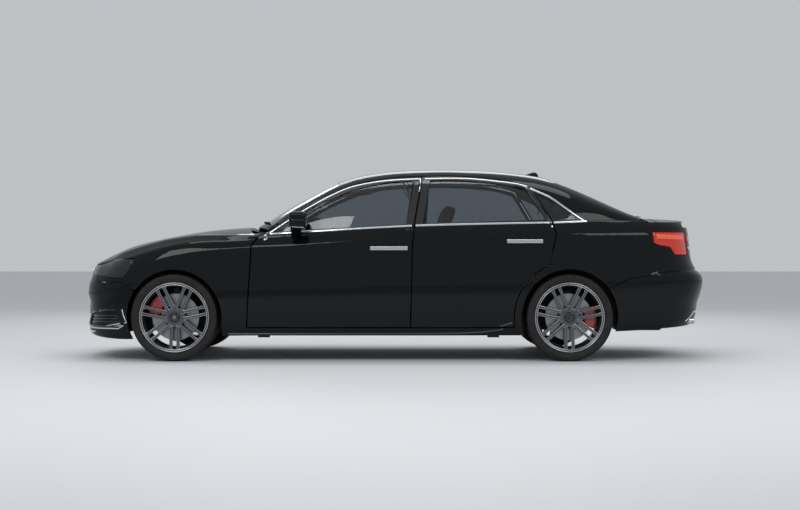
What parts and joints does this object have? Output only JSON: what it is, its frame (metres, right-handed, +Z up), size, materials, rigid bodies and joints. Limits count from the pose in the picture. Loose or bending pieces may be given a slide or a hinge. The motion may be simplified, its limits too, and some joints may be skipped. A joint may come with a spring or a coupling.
{
  "type": "executive car",
  "caption": "Long four-door executive saloon with opening doors, bonnet and boot lid, steered front wheels and free-rolling wheels.",
  "frame": {"origin": "on the ground under the middle of the car's bounding box", "axes": "+X towards the tail, +Y to the car's right, +Z up"},
  "size_m": [4.994, 2.196, 1.5099],
  "materials": {
    "paint": "gloss black paint",
    "glass": "tinted glass",
    "lamp_clear": "clear lens",
    "lamp_red": "red lens",
    "grille_black": "gloss black",
    "tyre": "black rubber",
    "rim_metal": "dark grey cast alloy",
    "steel": "bare steel",
    "engine": "cast metal",
    "dark_plastic": "matt black",
    "leather": "dark leather",
    "bright": "bright metal"
  },
  "bodies": {
    "car_body": {"floor_pan": "dark_plastic", "front_door_posts": "steel", "rear_door_posts": "steel", "sills": "paint", "quarter_panels": "paint", "upper_frames": "paint", "roof": "paint", "windscreen": "glass", "rear_window": "glass", "quarter_glass": "glass", "rear_deck_strip": "paint", "cowl_tray": "dark_plastic", "front_wings": "paint", "front_bumper": "paint", "grille": "grille_black", "lower_intake": "grille_black", "headlamps": "lamp_clear", "rear_bumper": "paint", "tail_lamps": "lamp_red", "front_wheel_houses": "dark_plastic", "rear_wheel_houses": "dark_plastic", "front_frame": "steel", "engine_block": "engine", "rear_suspension": "steel", "exhaust": "steel", "fuel_tank": "steel", "dashboard": "dark_plastic", "steering_wheel": "dark_plastic", "front_seats": "leather", "rear_bench": "leather"},
    "front_door_left": {"front_door_left": "paint", "front_door_glass_left": "glass", "front_door_handle_left": "bright", "door_mirror_left": "paint"},
    "rear_door_left": {"rear_door_left": "paint", "rear_door_glass_left": "glass", "rear_door_handle_left": "bright"},
    "front_door_right": {"front_door_right": "paint", "front_door_glass_right": "glass", "front_door_handle_right": "bright", "door_mirror_right": "paint"},
    "rear_door_right": {"rear_door_right": "paint", "rear_door_glass_right": "glass", "rear_door_handle_right": "bright"},
    "bonnet": {"bonnet": "paint"},
    "boot_lid": {"boot_lid": "paint"},
    "front_knuckle_left": {"front_knuckle_left": "steel"},
    "front_wheel_left": {"front_tyre_left": "tyre", "front_rim_left": "rim_metal", "front_disc_left": "steel"},
    "rear_wheel_left": {"rear_tyre_left": "tyre", "rear_rim_left": "rim_metal", "rear_disc_left": "steel"},
    "front_knuckle_right": {"front_knuckle_right": "steel"},
    "front_wheel_right": {"front_tyre_right": "tyre", "front_rim_right": "rim_metal", "front_disc_right": "steel"},
    "rear_wheel_right": {"rear_tyre_right": "tyre", "rear_rim_right": "rim_metal", "rear_disc_right": "steel"}
  },
  "joints": [
    {"name": "front_door_left_hinge", "type": "hinge", "parent": "car_body", "child": "front_door_left", "pos_m": [-1.062, -0.916, 0.6], "axis": [0, 0, -1], "range_deg": [0, 65]},
    {"name": "rear_door_left_hinge", "type": "hinge", "parent": "car_body", "child": "rear_door_left", "pos_m": [0.181, -0.916, 0.6], "axis": [0, 0, -1], "range_deg": [0, 65]},
    {"name": "front_door_right_hinge", "type": "hinge", "parent": "car_body", "child": "front_door_right", "pos_m": [-1.062, 0.916, 0.6], "axis": [0, 0, 1], "range_deg": [0, 65]},
    {"name": "rear_door_right_hinge", "type": "hinge", "parent": "car_body", "child": "rear_door_right", "pos_m": [0.181, 0.916, 0.6], "axis": [0, 0, 1], "range_deg": [0, 65]},
    {"name": "bonnet_hinge", "type": "hinge", "parent": "car_body", "child": "bonnet", "pos_m": [-1.062, 0, 0.972], "axis": [0, 1, 0], "range_deg": [0, 50]},
    {"name": "boot_lid_hinge", "type": "hinge", "parent": "car_body", "child": "boot_lid", "pos_m": [1.93, 0, 1.08], "axis": [0, -1, 0], "range_deg": [0, 65]},
    {"name": "steering_left", "type": "hinge", "parent": "car_body", "child": "front_knuckle_left", "pos_m": [-1.712, -0.727, 0.34], "axis": [0, 0, 1], "range_deg": [-35, 35]},
    {"name": "front_wheel_left_spin", "type": "hinge", "parent": "front_knuckle_left", "child": "front_wheel_left", "pos_m": [-1.712, -0.785, 0.34], "axis": [0, 1, 0], "continuous": true},
    {"name": "rear_wheel_left_spin", "type": "hinge", "parent": "car_body", "child": "rear_wheel_left", "pos_m": [1.35, -0.785, 0.34], "axis": [0, 1, 0], "continuous": true},
    {"name": "steering_right", "type": "hinge", "parent": "car_body", "child": "front_knuckle_right", "pos_m": [-1.712, 0.727, 0.34], "axis": [0, 0, 1], "range_deg": [-35, 35]},
    {"name": "front_wheel_right_spin", "type": "hinge", "parent": "front_knuckle_right", "child": "front_wheel_right", "pos_m": [-1.712, 0.785, 0.34], "axis": [0, 1, 0], "continuous": true},
    {"name": "rear_wheel_right_spin", "type": "hinge", "parent": "car_body", "child": "rear_wheel_right", "pos_m": [1.35, 0.785, 0.34], "axis": [0, 1, 0], "continuous": true}
  ],
  "couplings": [
    {"joint": "steering_right", "follows": "steering_left", "ratio": 1}
  ]
}
